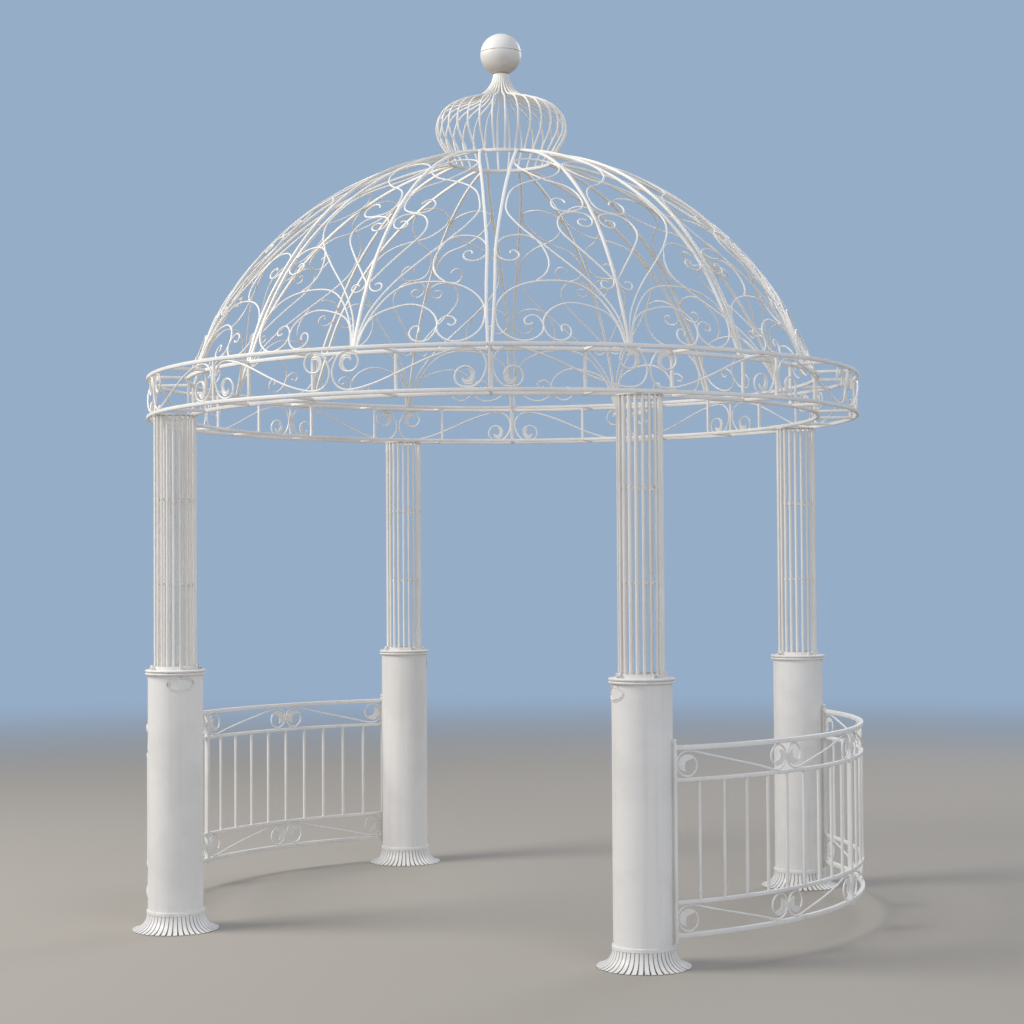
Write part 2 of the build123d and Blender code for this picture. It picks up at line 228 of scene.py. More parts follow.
def spread(tree, value, low, high, to_low=0.0, to_high=1.0):
    """A smooth step of a value from low to high, laid out between two levels."""
    values = {"interpolation_type": "SMOOTHSTEP"}
    node = linked(tree, "ShaderNodeMapRange", values, i0=value, i1=low, i2=high, i3=to_low, i4=to_high)
    return node.outputs[0]


def math_of(tree, operation, first, second):
    """Two values added, multiplied or compared."""
    return linked(tree, "ShaderNodeMath", {"operation": operation}, i0=first, i1=second).outputs[0]


# A noise has a scale, a detail and a roughness. A step goes from one value to another, and where it
# doesn't run from 0 to 1, between the two levels that follow.
PATCH_NOISE = (3.1, 3.0, 0.55)
PATCH_STEP = (0.42, 0.68)
MOTTLE_NOISE = (70.0, 4.0, 0.65)
MOTTLE_STEP = (0.35, 0.75)
MOTTLE_AMOUNT = 0.10
RUN_STRETCH = (34.0, 34.0, 1.3)
RUN_NOISE = (1.0, 3.0, 0.50)
RUN_STEP = (0.52, 0.74)
WORN_NOISE = (46.0, 6.0, 0.70)
WORN_SHARE = 0.34
GRIME_NOISE = (9.0, 4.0, 0.60)
GRIME_STEP = (0.25, 0.60, 0.55, 1.0)
RUST_STEP = (0.76, 0.86)
HALO_STEP = (0.66, 0.86, 0.0, 0.45)
PAINT_ROUGHNESS = 0.40
PATCH_ROUGHNESS = 0.12
RUST_ROUGHNESS = 0.35
BRUSH_NOISE = (210.0, 2.0, 0.55)
BRUSH_SHARE = 0.35
PIT_NOISE = (400.0, 3.0, 0.55)


def old_paint_group():
    """Brushed paint that has weathered: soft patches, mottling, runs of dirt, low grime and rust at joints.

    Patches, runs and rust are smooth steps of noise on the piece's own coordinates. The wear of the mesh
    is added to the rust's noise, so that it comes out at welds and lower edges first. Beside the drums' oval
    beads it is raised to paint shade. Grime is a smooth step of the height, from one level down to another.
    """
    group = bpy.data.node_groups.new("old_paint", "ShaderNodeTree")
    inputs = {
        "NodeSocketVector": ("Place",),
        "NodeSocketColor": ("Paint", "Patch", "Dirt", "Rust"),
        "NodeSocketFloat": (
            "Wear", "Patch Amount", "Run Amount", "Grime Amount", "Grime Bottom", "Grime Top",
        ),
    }
    outputs = {"NodeSocketColor": ("Colour",), "NodeSocketFloat": ("Roughness", "Relief")}
    for direction, sockets in (("INPUT", inputs), ("OUTPUT", outputs)):
        for kind, labels in sockets.items():
            for label in labels:
                group.interface.new_socket(name=label, in_out=direction, socket_type=kind)
    given = group.nodes.new("NodeGroupInput").outputs
    place = given["Place"]

    def noise(sizes, where=place):
        values = dict(zip(("Scale", "Detail", "Roughness"), sizes))
        return linked(group, "ShaderNodeTexNoise", None, i0=where, **values).outputs[0]

    def times(first, second):
        return math_of(group, "MULTIPLY", first, second)

    def plus(first, second):
        return math_of(group, "ADD", first, second)

    patches = spread(group, noise(PATCH_NOISE), *PATCH_STEP)
    mottling = spread(group, noise(MOTTLE_NOISE), *MOTTLE_STEP)
    long_runs = linked(group, "ShaderNodeMapping", None, Vector=place, Scale=RUN_STRETCH).outputs[0]
    runs = spread(group, noise(RUN_NOISE, long_runs), *RUN_STEP)
    worn = plus(noise(WORN_NOISE), times(given["Wear"], WORN_SHARE))
    height = linked(group, "ShaderNodeSeparateXYZ", None, Vector=place).outputs["Z"]
    low_down = spread(group, height, given["Grime Top"], given["Grime Bottom"])
    grime = times(low_down, spread(group, noise(GRIME_NOISE), *GRIME_STEP))
    rust = spread(group, worn, *RUST_STEP)
    halo = spread(group, worn, *HALO_STEP)
    layers = (
        (times(patches, given["Patch Amount"]), given["Patch"]),
        (times(mottling, MOTTLE_AMOUNT), given["Patch"]),
        (times(runs, given["Run Amount"]), given["Dirt"]),
        (times(grime, given["Grime Amount"]), given["Dirt"]),
        (halo, given["Dirt"]),
        (rust, given["Rust"]),
    )
    colour = given["Paint"]
    for share, tint in layers:
        colour = tinted(group, share, colour, tint)
    roughness = plus(plus(times(patches, PATCH_ROUGHNESS), PAINT_ROUGHNESS), times(rust, RUST_ROUGHNESS))
    relief = plus(times(noise(BRUSH_NOISE), BRUSH_SHARE), times(rust, noise(PIT_NOISE)))
    linked(group, "NodeGroupOutput", None, Colour=colour, Roughness=roughness, Relief=relief)
    return group


OLD_PAINT = old_paint_group()
PATCH_GREY = shade_of(213, 211, 208)
# Grey-brown of dirt for runs, grime and halos round rust. Beside the drums' oval beads it is painted shade,
# and on the ball it makes the bottom darker.
DIRT_AND_SHADE_GREY = shade_of(164, 150, 130)
RUST_BROWN = shade_of(122, 88, 62)
PAINT_RELIEF = 0.0006


def painted(name, paint, patch_amount, run_amount, relief=0.25, grime=(0.0, 0.0, 1.0)):
    """Steel under old white paint. relief is the strength of its brush marks.

    grime holds an amount, and the two heights from the lower to the upper of which it fades out.
    """
    material = bpy.data.materials.new(name)
    material.use_nodes = True
    tree = material.node_tree
    inputs = {
        "Place": linked(tree, "ShaderNodeTexCoord").outputs["Object"],
        "Wear": linked(tree, "ShaderNodeAttribute", {"attribute_name": "wear"}).outputs["Fac"],
        "Paint": paint, "Patch": PATCH_GREY, "Dirt": DIRT_AND_SHADE_GREY, "Rust": RUST_BROWN,
        "Patch Amount": patch_amount, "Run Amount": run_amount,
        "Grime Amount": grime[0], "Grime Bottom": grime[1], "Grime Top": grime[2],
    }
    finish = linked(tree, "ShaderNodeGroup", {"node_tree": OLD_PAINT}, **inputs).outputs
    marks = {"Strength": relief, "Distance": PAINT_RELIEF, "Height": finish["Relief"]}
    bump = linked(tree, "ShaderNodeBump", None, **marks)
    shader = tree.nodes["Principled BSDF"].inputs
    tree.links.new(finish["Colour"], shader["Base Color"])
    tree.links.new(finish["Roughness"], shader["Roughness"])
    tree.links.new(bump.outputs["Normal"], shader["Normal"])
    return material


COLUMN_WHITE = shade_of(239, 238, 236)
GROUND_GRIME = (0.10, 0.0, 0.08)

column_paint = painted("column_paint", COLUMN_WHITE, patch_amount=0.35, run_amount=0.10, grime=GROUND_GRIME)


def on_drum(across, height, radius=DRUM_RADIUS):
    """Places on or near a drum round the origin, at turn = across / the drum's radius, and their normals."""
    outward = outward_at(np.asarray(across) / DRUM_RADIUS)
    return outward * radius + np.asarray(height)[..., None] * [0, 0, 1], outward


drum_profile = [(DRUM_RADIUS, z) for z in np.linspace(0, DRUM_TOP, DRUM_ROWS)]
drum_profile += [(DRUM_RADIUS - DRUM_WALL, DRUM_TOP), (DRUM_RADIUS - DRUM_WALL, 0)]
wave_round = np.sin(WAVES_ROUND * 2 * pi * np.arange(DRUM_SIDES) / DRUM_SIDES + WAVE_START)
wave_up = np.sin(WAVE_CLIMB * np.array(drum_profile)[:, 1:])
drum_wall = turned(drum_profile, DRUM_SIDES, waves=DRUM_WAVE * (wave_round * wave_up - 1))
drum_wear = worn_near(drum_wall[0][:, 2], *DRUM_WEAR)
oval = np.linspace(0, 2 * pi, OVAL_STEPS, endpoint=False)
bead_angle = np.linspace(0, 2 * pi, OVAL_BEAD_SIDES, endpoint=False)
bead = np.stack([np.cos(bead_angle), np.sin(bead_angle)], -1) * OVAL_BEAD
# Painted shade: each bead gets more wear at its sides, which darkens them like the shadow beside a raised
# ridge.
bead_wear_and_shade = np.tile(OVAL_WEAR_AND_SHADE[0] + OVAL_WEAR_AND_SHADE[1] * np.abs(np.sin(bead_angle)), OVAL_STEPS)
oval_beads = []
for inset in (0.0, OVAL_INSET):
    across = (OVAL_HALF_WIDTH - inset) * np.cos(oval)
    height = OVAL_HEIGHT + (OVAL_HALF_HEIGHT - inset) * np.sin(oval)
    oval_beads.append((*swept(*on_drum(across, height), bead, closed=True), bead_wear_and_shade))
for corner, turn in COLUMN_TURNS.items():
    parts = [(*drum_wall, drum_wear)] + placed(oval_beads, OVAL_TURN[corner])
    parts = placed(parts, turn, COLUMN_CIRCLE)
    new_piece(f"pipe_{corner}", parts, column_paint, "column_paint", f"drum_{corner}")

# Foot skirts: a strip of thin sheet, cut into fingers that fan out over the ground and hide the base
# plate. A folded collar band closes it round the drum, with its ends lapped at one side.

STRIPS = 44
STRIP_THICKNESS = 0.0016
STRIP_STEP = 0.010
# Radius and height along a finger
STRIP_LINE = [
    (0.1275, 0.080), (0.1285, 0.068), (0.1320, 0.052), (0.1405, 0.036), (0.1540, 0.0210), (0.1720, 0.0095),
    (0.1880, 0.0038), (0.1950, 0.0022),
]
# Width of a finger at the collar and at its tip
STRIP_WIDTHS = (0.0138, 0.0190)
# Share by which a finger's tip falls short, and height by which it stands up, at most
STRIP_SHORT = 0.010
STRIP_UNEVEN = 0.0012
STRIP_SEED = 5
COLLAR = [
    (0.1252, 0.0750), (0.1296, 0.0750), (0.1308, 0.0765), (0.1308, 0.0895), (0.1296, 0.0910),
    (0.1252, 0.0910),
]
LAP_ARC = (-0.018, 0.018)
LAP_STEPS = 5
LAP_TURN = 150
LAP_RISE = 0.0012
STRIP_WEAR = (0.15, 0.40, 0.01)
COLLAR_WEAR = 0.3
LAP_WEAR = 0.4


def flowing(points, step, fineness=60):
    """An even line through flat points: a natural cubic spline over centripetal spacing.

    Its second derivatives solve the three-term equations of the spline, and the line is then read
    at equal distances of arc length.
    """
    p = np.asarray(points, float)
    gap = np.sqrt(np.linalg.norm(np.diff(p, axis=0), axis=1))
    knots = np.concatenate([[0.0], np.cumsum(gap)])
    inner = np.arange(1, len(p) - 1)
    rows = np.eye(len(p))
    rows[inner, inner - 1] = gap[:-1]
    rows[inner, inner] = 2 * (gap[:-1] + gap[1:])
    rows[inner, inner + 1] = gap[1:]
    pull = np.zeros_like(p)
    pull[1:-1] = 6 * np.diff(np.diff(p, axis=0) / gap[:, None], axis=0)
    bend = np.linalg.solve(rows, pull)
    u = np.linspace(0, knots[-1], fineness * len(p))
    k = np.clip(np.searchsorted(knots, u, side="right") - 1, 0, len(p) - 2)
    left = ((knots[k + 1] - u) / gap[k])[:, None]
    right = 1 - left
    curl = (left**3 - left) * bend[k] + (right**3 - right) * bend[k + 1]
    fine = left * p[k] + right * p[k + 1] + curl * gap[k, None] ** 2 / 6
    run = np.concatenate([[0.0], np.cumsum(np.linalg.norm(np.diff(fine, axis=0), axis=1))])
    even = np.linspace(0, run[-1], max(3, int(round(run[-1] / step)) + 1))
    return np.stack([np.interp(even, run, column) for column in fine.T], -1)


def flat_bar(thickness, width):
    """Corners of a rectangle, thickness along the normal and width across it."""
    a, b = thickness / 2, width / 2
    return [(a, -b), (a, b), (-a, b), (-a, -b)]


def round_bar(diameter, sides):
    """Points on a circle."""
    t = 2 * pi * np.arange(sides) / sides
    return np.stack([np.cos(t), np.sin(t)], -1) * diameter / 2


strip_line = flowing(STRIP_LINE, STRIP_STEP)
share = np.linspace(0, 1, len(strip_line))
uneven = np.random.default_rng(STRIP_SEED)
reach = 1 + uneven.uniform(-1, 0, (STRIPS, 1)) * STRIP_SHORT * share**2
lift = uneven.uniform(0, STRIP_UNEVEN, (STRIPS, 1)) * share**2
strip_r = strip_line[:, 0] * reach
strip_z = strip_line[:, 1] + lift
slope = np.gradient(strip_line, axis=0)
rise_out = np.stack([-slope[:, 1], slope[:, 0]], -1)
rise_out *= np.sign(rise_out[:1, :1]) / np.linalg.norm(rise_out, axis=1, keepdims=True)
strip_out = outward_at(2 * pi * (np.arange(STRIPS) + 0.5) / STRIPS)[:, None]
strip_paths = strip_r[..., None] * strip_out + strip_z[..., None] * [0, 0, 1]
strip_normals = rise_out[:, :1] * strip_out + rise_out[:, 1:] * [0, 0, 1]
strip_widths = STRIP_WIDTHS[0] + (STRIP_WIDTHS[1] - STRIP_WIDTHS[0]) * share
widening = np.stack([np.ones_like(share), strip_widths], -1)
strips = swept(strip_paths, strip_normals, flat_bar(STRIP_THICKNESS, 1.0), scale=widening)
collar = turned(COLLAR, DRUM_SIDES)
collar_face = max(r for r, _ in COLLAR)
face_low, face_high = (z for r, z in COLLAR if r == collar_face)
lap_heights = np.full(LAP_STEPS, (face_low + face_high) / 2)
lap_places = on_drum(np.linspace(*LAP_ARC, LAP_STEPS), lap_heights, collar_face + LAP_RISE / 2)
lap = swept(*lap_places, flat_bar(LAP_RISE, face_high - face_low))
skirt_parts = [(*strips, worn_near(strips[0][:, 2], *STRIP_WEAR)), (*collar, COLLAR_WEAR)]
skirt_parts += placed([(*lap, LAP_WEAR)], LAP_TURN)
for corner, turn in COLUMN_TURNS.items():
    parts = placed(skirt_parts, turn, COLUMN_CIRCLE)
    new_piece(f"skirt_{corner}", parts, column_paint, "column_paint", f"foot_skirt_{corner}")

# Drum caps: a turned lid with two rolled beads round its rim. On it stand four small bolts, four bent
# lugs, and a flat clamp band in two halves that closes round the feet of the rods.

CAP_TOP = 1.175
CAP_EDGE = 0.1240
CAP_MIDDLE = 0.0020
BEAD_CENTRE = 0.1315
# Height of each bead's middle, and its radius
BEADS = ((1.1562, 0.0050), (1.1692, 0.0056))
GROOVE = (0.1290, 1.1622)
BEAD_STEPS = 9
CLAMP = (0.0990, 0.1018)
CLAMP_HEIGHT = 0.016
CLAMP_GAP = 0.0035
CLAMP_TURN = 12
CLAMP_STEPS = 40
BOLT_CIRCLE = 0.111
BOLT_SIDES = 12
# Radius and height over the cap, for the bolt and for the lug's line
BOLT = [
    (0.0088, 0.000), (0.0088, 0.0022), (0.0068, 0.0024), (0.0068, 0.0100), (0.0052, 0.0108), (0.0040, 0.0110),
    (0.0040, 0.0190), (0.0022, 0.0205),
]
LUG = (0.0030, 0.0150)
LUG_STEP = 0.003
LUG_LINE = [(0.1020, 0.0020), (0.1045, 0.0120), (0.1100, 0.0190), (0.1150, 0.0150), (0.1135, 0.0090)]
CAP_WEAR = (0.10, 0.50, 0.002)
BOLT_WEAR = 0.5
LUG_WEAR = 0.4
CLAMP_WEAR = 0.35
CAP_WHITE = shade_of(239, 237, 234)


def half_round(centre, radius, steps):
    """An outward half circle in (r, z), from its lowest point to its highest."""
    t = np.linspace(-pi / 2, pi / 2, steps)
    return [(centre[0] + radius * cos(a), centre[1] + radius * sin(a)) for a in t]


cap_profile = [(CAP_MIDDLE, DRUM_TOP), (DRUM_RADIUS, DRUM_TOP)]
cap_profile += half_round((BEAD_CENTRE, BEADS[0][0]), BEADS[0][1], BEAD_STEPS) + [GROOVE]
cap_profile += half_round((BEAD_CENTRE, BEADS[1][0]), BEADS[1][1], BEAD_STEPS)
cap_profile += [(CAP_EDGE, CAP_TOP), (CAP_MIDDLE, CAP_TOP)]
cap = turned(cap_profile, DRUM_SIDES, closed=False)
bolt = turned([(r, CAP_TOP + h) for r, h in BOLT], BOLT_SIDES, closed=False)
clamp_reach = pi / 2 - CLAMP_GAP / CLAMP[0]
clamp_out = outward_at(np.linspace(-clamp_reach, clamp_reach, CLAMP_STEPS))
clamp_line = clamp_out * sum(CLAMP) / 2 + [0, 0, CAP_TOP + CLAMP_HEIGHT / 2]
clamp = swept(clamp_line, clamp_out, flat_bar(CLAMP[1] - CLAMP[0], CLAMP_HEIGHT))
lug_line = flowing(LUG_LINE, LUG_STEP)
lug_path = np.stack([lug_line[:, 0], 0 * lug_line[:, 0], CAP_TOP + lug_line[:, 1]], -1)
lug = swept(lug_path, np.cross([0, 1, 0], np.gradient(lug_path, axis=0)), flat_bar(*LUG))
cap_parts = [(*cap, worn_near(cap[0][:, 2] - GROOVE[1], *CAP_WEAR))]
for quarter in (0, 90, 180, 270):
    cap_parts += placed([(*bolt, BOLT_WEAR)], quarter, BOLT_CIRCLE)
    cap_parts += placed([(*lug, LUG_WEAR)], quarter + CLAMP_TURN)
for half in (0, 180):
    cap_parts += placed([(*clamp, CLAMP_WEAR)], half + CLAMP_TURN)
cap_paint = painted("cap_paint", CAP_WHITE, patch_amount=0.35, run_amount=0.15)
for corner, turn in COLUMN_TURNS.items():
    parts = placed(cap_parts, turn, COLUMN_CIRCLE)
    new_piece(f"cap_{corner}", parts, cap_paint, "column_paint", f"drum_cap_{corner}")

# Rod cages: twenty upright round rods make the upper half of each column. They are welded to four flat
# hoops inside them and to a thin ring plate on top, and reach from the drum cap to the ring beam.

RODS = 20
ROD_DIAMETER = 0.0126
ROD_CIRCLE = 0.091
ROD_SIDES = 12
ROD_ROWS = 13
ROD_BOW = 0.0012
ROD_SEED = 8
CAGE_TOP = 2.333
CAGE_SIDES = 60
CAGE_HOOP = (0.0805, 0.0845)
CAGE_HOOP_HEIGHT = 0.010
CAGE_HOOP_LEVELS = 4
CAGE_PLATE = [(0.0800, 2.3290), (0.1003, 2.3290), (0.1003, 2.3330), (0.0800, 2.3330)]
# Degrees by which each cage is turned on its drum
CAGE_TURNS = {"front_right": 0.7, "back_right": 6.2, "back_left": 0.3, "front_left": 2.2}
ROD_WEAR = (0.06, 0.30, 0.014, 2)
PLATE_WEAR = 0.2
HOOP_WEAR = 0.08
CAGE_WHITE = shade_of(242, 240, 236)

cage_paint = painted("cage_paint", CAGE_WHITE, patch_amount=0.30, run_amount=0.08)
hoop_levels = np.linspace(CAP_TOP, CAGE_TOP, CAGE_HOOP_LEVELS)
hoop_levels += [CAGE_HOOP_HEIGHT / 2, 0, 0, -CAGE_HOOP_HEIGHT / 2]
rod_out = outward_at(2 * pi * np.arange(RODS) / RODS)[:, None]
rod_side = np.cross([0, 0, 1], rod_out)
rod_z = np.linspace(CAP_TOP, CAGE_TOP, ROD_ROWS)
rod_height = (rod_z - CAP_TOP) / (CAGE_TOP - CAP_TOP)
rod_bow = np.random.default_rng(ROD_SEED).uniform(-ROD_BOW, ROD_BOW, (RODS, 1)) * np.sin(pi * rod_height)
rod_paths = ROD_CIRCLE * rod_out + rod_z[:, None] * [0, 0, 1] + rod_bow[..., None] * rod_side
rods = swept(rod_paths, rod_out, round_bar(ROD_DIAMETER, ROD_SIDES))
rod_wear = worn_near(np.abs(rods[0][:, 2, None] - hoop_levels).min(1), *ROD_WEAR)
cage_plate = turned(CAGE_PLATE, CAGE_SIDES)
hoop_parts = []
for level in hoop_levels:
    low, high = level - CAGE_HOOP_HEIGHT / 2, level + CAGE_HOOP_HEIGHT / 2
    hoop_profile = [(CAGE_HOOP[0], low), (CAGE_HOOP[1], low), (CAGE_HOOP[1], high), (CAGE_HOOP[0], high)]
    hoop_parts.append((*turned(hoop_profile, CAGE_SIDES), HOOP_WEAR))
for corner, turn in COLUMN_TURNS.items():
    parts = placed([(*rods, rod_wear)], CAGE_TURNS[corner]) + [(*cage_plate, PLATE_WEAR)]
    parts = placed(parts, turn, COLUMN_CIRCLE)
    new_piece(f"rods_{corner}", parts, cage_paint, "cage_paint", f"cage_rods_{corner}")
    parts = placed(hoop_parts, turn, COLUMN_CIRCLE)
    new_piece(f"hoops_{corner}", parts, cage_paint, "cage_paint", f"cage_hoops_{corner}")

# Ring beam: eight curved segments of 16 mm square tube, two rails outside and two inside, held apart by
# square frames every 15 degrees. The outer side has a frieze of bent S-shaped rods that end in cut leaves.

MM = 0.001
OUTER_RAIL = 1.695
INNER_RAIL = 1.510
RAIL_SIZE = 0.016
RAIL_STEPS = 31
RING_LOW = 2.341
RING_HIGH = 2.525
SEGMENTS = 8
SEGMENT = 360 / SEGMENTS
BAYS = 3
JOINT_GAP = 0.0003
JOINT_BAR = 0.012
JOINT_BAR_GAP = 0.0005085
TUBE_CORNER = 0.0028
CORNER_STEPS = 3
STRUT_SIZE = 0.013
STRUT_STEPS = 5
SPACER_STEPS = 3
SCROLL_ROD = 0.0085
SCROLL_STEP = 0.010
SCROLL_SIDES = 8
HALF_RING_RUN = OUTER_RAIL * radians(SEGMENT / 2)
# Distance in millimetres from the joint, and height over the lower rail's face
RING_SCROLL = [
    (54.3, 51.4), (59.4, 69.5), (74, 82), (93, 86.5), (120, 76), (134, 46), (122, 15), (95, 4.8), (67, 5.0),
    (40, 17), (19, 44), (7, 80), (9, 110), (22, 137), (46, 155.5), (78, 163), (112, 160.5), (150, 152.5),
    (200, 138), (264, 114), (332.8, 84), (401.6, 54), (465.6, 30), (515.6, 15.5), (553.6, 7.5), (587.6, 5),
    (619.6, 12.5), (643.6, 31), (656.6, 58), (658.6, 88), (645.6, 124), (626, 151), (594, 163.2), (562, 159),
    (543, 136), (541, 112), (556, 88), (583, 79.5), (606, 85), (618, 97.9), (623.2, 116.4),
]
# Middle and radius of each leaf's circle, the angle at which it starts, and the sense in which it turns
RING_LEAVES = [((93, 46), 42, 88, 1), ((583.6, 122), 43, -92, 1)]
# Share of the leaf's turn, then its middle line and its width as shares of the circle's radius
RING_LEAF = [
    (0, 0.97, 0.08), (0.13, 0.86, 0.26), (0.25, 0.79, 0.37), (0.38, 0.73, 0.46), (0.535, 0.66, 0.56),
    (0.655, 0.52, 0.50), (0.77, 0.38, 0.34), (0.885, 0.27, 0.20), (1, 0.20, 0.06),
]
RING_LEAF_TURN = 260
LEAF_STEP = 0.03
LEAF_TIP = 1 / 3
# Half the leaf's section: thickness, and distance from its middle as a share of its width
LEAF_SECTION = [
    (0.0008, -0.50), (0.0032, -0.42), (0.0014, -0.22), (0.0036, 0.0), (0.0014, 0.22), (0.0032, 0.42),
    (0.0008, 0.50),
]
RAIL_WEAR = (0.08, 0.30, 0.02)
STRUT_WEAR = 0.2
SPACER_WEAR = 0.3
SCROLL_WEAR = 0.12
RING_WHITE = shade_of(241, 239, 236)


def rounded_square(size, corner=TUBE_CORNER, steps=CORNER_STEPS):
    """A square with quarter circles at its corners, anticlockwise."""
    t = np.linspace(0, pi / 2, steps)
    arc = size / 2 - corner + corner * np.stack([np.cos(t), np.sin(t)], -1)
    quarter = np.array([[0, 1], [-1, 0]])
    corners = [arc]
    for _ in range(3):
        corners.append(corners[-1] @ quarter)
    return np.concatenate(corners)


def on_ring(line, radius, base):
    """Places on an upright cylinder of (distance along it from +X, height over base), and their normals.

    turn = distance / radius.
    """
    outward = outward_at(line[..., 0] / radius)
    return outward * radius + (line[..., 1, None] + base) * [0, 0, 1], outward


def handed(line, way):
    """The line as it is for way 1. For way -1 it is mirrored in the middle and runs backwards."""
    return line[::way] * [way, 1]


def leaf_line(circle, radius, start, turning, leaf, turn):
    """A leaf that curls inwards from a scroll: rho = radius * m(u) at the angle start + turn * u.

    m is the leaf's middle line and its width follows beside it. start and turn are in degrees.
    """
    table = flowing(leaf, LEAF_STEP)
    angle = radians(start) + turning * radians(turn) * table[:, 0]
    rho = radius * table[:, 1]
    line = np.asarray(circle, float) + rho[:, None] * np.stack([np.cos(angle), np.sin(angle)], -1)
    return line, radius * table[:, 2]


def leaf_scale(width):
    """Thickness and width of the leaf's section at each step: the thickness falls to LEAF_TIP at the tips."""
    return np.stack([LEAF_TIP + (1 - LEAF_TIP) * width / width.max(), width], -1)


def past_bar(line):
    """A line moved clear of the bar at its joint: x + bar * share. The share falls from 1 to 0 half way."""
    share = np.clip(-2 * line[:, :1] / HALF_RING_RUN - 1, 0, 1)
    return line + np.concatenate([JOINT_BAR * share, 0 * share], 1)


leaf_section = LEAF_SECTION + [(-a, b) for a, b in LEAF_SECTION[::-1]]
ring_scroll = flowing(RING_SCROLL, SCROLL_STEP / MM) * MM
ring_scroll[:, 0] = HALF_RING_RUN - ring_scroll[:, 0]
ring_leaves = []
for ring_leaf in RING_LEAVES:
    line, width = leaf_line(*ring_leaf, RING_LEAF, RING_LEAF_TURN)
    line = line * MM
    line[:, 0] = HALF_RING_RUN - line[:, 0]
    ring_leaves.append((line, width * MM))
ring_parts = []
for radius in (OUTER_RAIL, INNER_RAIL):
    half = radius * radians(SEGMENT / 2) - JOINT_GAP
    rail = np.stack([np.linspace(-half, half, RAIL_STEPS), np.zeros(RAIL_STEPS)], -1)
    for level in (RING_LOW, RING_HIGH):
        points, faces = swept(*on_ring(rail, radius, level), rounded_square(RAIL_SIZE))
        from_joint = half - np.abs(np.arctan2(points[:, 1], points[:, 0])) * radius
        ring_parts.append((points, faces, worn_near(from_joint, *RAIL_WEAR)))
rail_face = RING_LOW + RAIL_SIZE / 2
strut_rise = np.linspace(rail_face, RING_HIGH - RAIL_SIZE / 2, STRUT_STEPS)[:, None] * [0, 0, 1]
strut_turns = radians(SEGMENT) * (np.arange(BAYS) / BAYS - 0.5)
strut_turns[0] += (STRUT_SIZE / 2 + JOINT_GAP) / INNER_RAIL
strut_out = outward_at(strut_turns)[:, None]
struts = swept(INNER_RAIL * strut_out + strut_rise, strut_out, rounded_square(STRUT_SIZE))
ring_parts.append((*struts, STRUT_WEAR))
spacer_r = np.linspace(INNER_RAIL + RAIL_SIZE / 2, OUTER_RAIL - RAIL_SIZE / 2, SPACER_STEPS)
for level in (RING_LOW, RING_HIGH):
    spacer_line = spacer_r[:, None] * strut_out + [0, 0, level]
    ring_parts.append((*swept(spacer_line, [0, 0, 1.0], rounded_square(STRUT_SIZE)), SPACER_WEAR))
joint_out = outward_at((JOINT_BAR / 2 + JOINT_BAR_GAP) / OUTER_RAIL - radians(SEGMENT / 2))
joint_bar = swept(OUTER_RAIL * joint_out + strut_rise, joint_out, rounded_square(JOINT_BAR))
ring_parts.append((*joint_bar, STRUT_WEAR))
for way in (1, -1):
    places = on_ring(past_bar(handed(ring_scroll, way)), OUTER_RAIL, rail_face)
    ring_parts.append((*swept(*places, round_bar(SCROLL_ROD, SCROLL_SIDES)), SCROLL_WEAR))
    for leaf, width in ring_leaves:
        places = on_ring(past_bar(handed(leaf, way)), OUTER_RAIL, rail_face)
        ring_parts.append((*swept(*places, leaf_section, scale=leaf_scale(width[::way])), SCROLL_WEAR))
ring_paint = painted("ring_paint", RING_WHITE, patch_amount=0.40, run_amount=0.10)
for i in range(SEGMENTS):
    parts = placed(ring_parts, i * SEGMENT)
    new_piece(f"ring_beam_{i + 1}", parts, ring_paint, "ring_paint", f"ring_segment_{i + 1}")

# Dome panels: eight petals of bent rod on a sphere, each with a square middle rib and two edge bars that
# close in a rounded top at the crown. The scrolls between them are round rods, welded where they touch.

CROWN_RADIUS = 0.262
DOME_RISE = 1.075
RIB_INSET = 0.007
DOME_FOOT = INNER_RAIL - RIB_INSET
DOME_FOOT_LEVEL = RING_HIGH + RAIL_SIZE / 2
DOME_DROP = (DOME_FOOT**2 - CROWN_RADIUS**2 - DOME_RISE**2) / (2 * DOME_RISE)
DOME_CENTRE = DOME_FOOT_LEVEL - DOME_DROP
DOME_RADIUS = sqrt(DOME_FOOT**2 + DOME_DROP**2)
FOOT_LATITUDE = asin(DOME_DROP / DOME_RADIUS)
RIB_SIZE = 0.0128
RIB_LENGTH = DOME_RADIUS * (pi / 2 - asin(CROWN_RADIUS / DOME_RADIUS) - FOOT_LATITUDE)
RIB_START = -0.006
RIB_STEPS = 60
EDGE_STEP = 0.022
DOME_ROD = 0.0078
DOME_STEP = 0.013
DOME_ROD_WEAR = 0.14
DOME_WHITE = shade_of(243, 241, 237)
